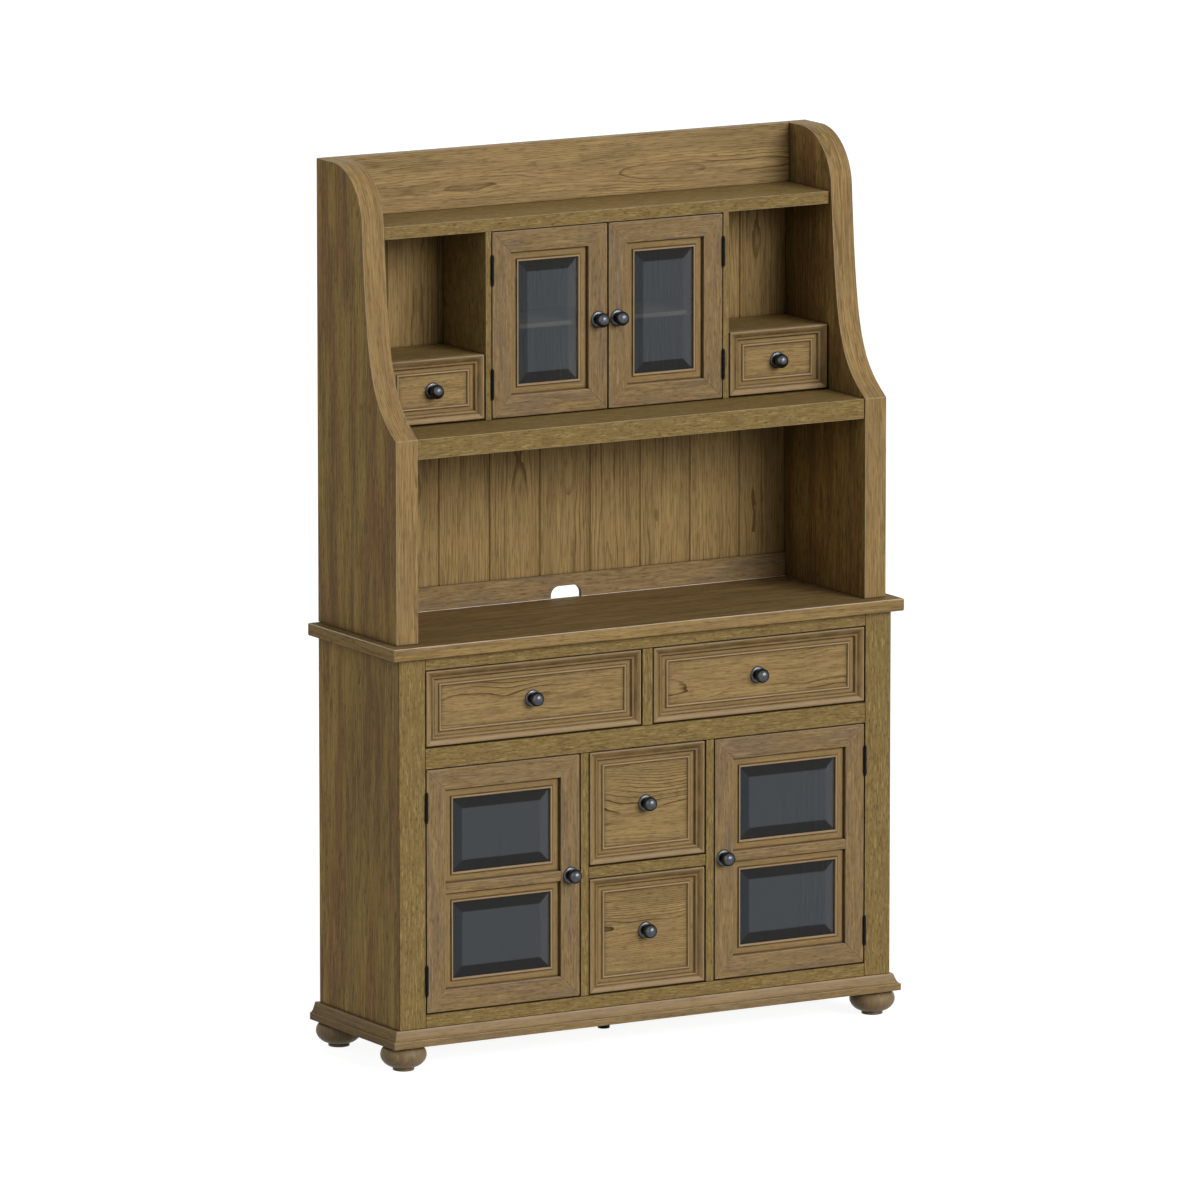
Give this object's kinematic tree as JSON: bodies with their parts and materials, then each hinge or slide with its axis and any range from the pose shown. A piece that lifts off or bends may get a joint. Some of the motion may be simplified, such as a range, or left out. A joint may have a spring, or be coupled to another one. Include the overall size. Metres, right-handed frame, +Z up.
{
  "type": "dresser with hutch",
  "caption": "Weathered wood base cabinet with drawers and glazed doors on bun feet, carrying a curved-sided open hutch with a small glazed cabinet, cubbies and small drawers",
  "frame": {"origin": "on the floor, under the middle of the outline's box, knobs and feet included", "axes": "+Z up, +X to the viewer's right when facing the doors, +Y to the back; doors and drawers face -Y"},
  "size_m": [1.2734, 0.3998, 1.932],
  "materials": {
    "weathered_oak": "weathered grey-brown oak with a dark glaze in its joints, satin",
    "inner_wood": "plain sealed wood, matt",
    "smoked_glass": "bevelled grey glass, polished",
    "knob_metal": "dark gunmetal, semi-gloss",
    "hinge_metal": "blackened, satin"
  },
  "bodies": {
    "cabinet": {"counter_top": "weathered_oak", "base_side_left": "weathered_oak", "base_side_right": "weathered_oak", "base_back_panel": "inner_wood", "base_face_frame": "weathered_oak", "drawer_case": "inner_wood", "base_moulding": "weathered_oak", "foot_front_left": "weathered_oak", "foot_front_right": "weathered_oak", "foot_back_left": "weathered_oak", "foot_back_right": "weathered_oak", "hutch_side_left": "weathered_oak", "hutch_side_right": "weathered_oak", "hutch_back_panel": "weathered_oak", "hutch_lower_shelf": "weathered_oak", "hutch_top_shelf": "weathered_oak", "hutch_top_backboard": "weathered_oak", "hutch_divider_left": "weathered_oak", "hutch_divider_right": "weathered_oak", "cabinet_shelf": "weathered_oak", "hutch_deck_left": "weathered_oak", "hutch_deck_right": "weathered_oak"},
    "top_drawer_left": {"top_drawer_left_front": "weathered_oak", "top_drawer_left_box": "inner_wood", "top_drawer_left_knob": "knob_metal"},
    "top_drawer_right": {"top_drawer_right_front": "weathered_oak", "top_drawer_right_box": "inner_wood", "top_drawer_right_knob": "knob_metal"},
    "centre_drawer_upper": {"centre_drawer_upper_front": "weathered_oak", "centre_drawer_upper_box": "inner_wood", "centre_drawer_upper_knob": "knob_metal"},
    "centre_drawer_lower": {"centre_drawer_lower_front": "weathered_oak", "centre_drawer_lower_box": "inner_wood", "centre_drawer_lower_knob": "knob_metal"},
    "hutch_drawer_left": {"hutch_drawer_left_front": "weathered_oak", "hutch_drawer_left_box": "inner_wood", "hutch_drawer_left_knob": "knob_metal"},
    "hutch_drawer_right": {"hutch_drawer_right_front": "weathered_oak", "hutch_drawer_right_box": "inner_wood", "hutch_drawer_right_knob": "knob_metal"},
    "base_door_left": {"base_door_left_frame": "weathered_oak", "base_door_left_glass": "smoked_glass", "base_door_left_knob": "knob_metal", "base_door_left_hinge_upper": "hinge_metal", "base_door_left_hinge_lower": "hinge_metal"},
    "base_door_right": {"base_door_right_frame": "weathered_oak", "base_door_right_glass": "smoked_glass", "base_door_right_knob": "knob_metal", "base_door_right_hinge_upper": "hinge_metal", "base_door_right_hinge_lower": "hinge_metal"},
    "hutch_door_left": {"hutch_door_left_frame": "weathered_oak", "hutch_door_left_glass": "smoked_glass", "hutch_door_left_knob": "knob_metal", "hutch_door_left_hinge_upper": "hinge_metal", "hutch_door_left_hinge_lower": "hinge_metal"},
    "hutch_door_right": {"hutch_door_right_frame": "weathered_oak", "hutch_door_right_glass": "smoked_glass", "hutch_door_right_knob": "knob_metal", "hutch_door_right_hinge_upper": "hinge_metal", "hutch_door_right_hinge_lower": "hinge_metal"}
  },
  "joints": [
    {"name": "top_drawer_left_slide", "type": "slide", "parent": "cabinet", "child": "top_drawer_left", "axis": [0, -1, 0], "range_m": [0, 0.25]},
    {"name": "top_drawer_right_slide", "type": "slide", "parent": "cabinet", "child": "top_drawer_right", "axis": [0, -1, 0], "range_m": [0, 0.25]},
    {"name": "centre_drawer_upper_slide", "type": "slide", "parent": "cabinet", "child": "centre_drawer_upper", "axis": [0, -1, 0], "range_m": [0, 0.25]},
    {"name": "centre_drawer_lower_slide", "type": "slide", "parent": "cabinet", "child": "centre_drawer_lower", "axis": [0, -1, 0], "range_m": [0, 0.25]},
    {"name": "hutch_drawer_left_slide", "type": "slide", "parent": "cabinet", "child": "hutch_drawer_left", "axis": [0, -1, 0], "range_m": [0, 0.11]},
    {"name": "hutch_drawer_right_slide", "type": "slide", "parent": "cabinet", "child": "hutch_drawer_right", "axis": [0, -1, 0], "range_m": [0, 0.11]},
    {"name": "base_door_left_hinge", "type": "hinge", "parent": "cabinet", "child": "base_door_left", "pos_m": [-0.54655, -0.171, 0.3882], "axis": [0, 0, -1], "range_deg": [0, 110]},
    {"name": "base_door_right_hinge", "type": "hinge", "parent": "cabinet", "child": "base_door_right", "pos_m": [0.54655, -0.171, 0.3882], "axis": [0, 0, 1], "range_deg": [0, 110]},
    {"name": "hutch_door_left_hinge", "type": "hinge", "parent": "cabinet", "child": "hutch_door_left", "pos_m": [-0.28705, -0.0007, 1.5695], "axis": [0, 0, -1], "range_deg": [0, 95]},
    {"name": "hutch_door_right_hinge", "type": "hinge", "parent": "cabinet", "child": "hutch_door_right", "pos_m": [0.28705, -0.0007, 1.5695], "axis": [0, 0, 1], "range_deg": [0, 95]}
  ]
}
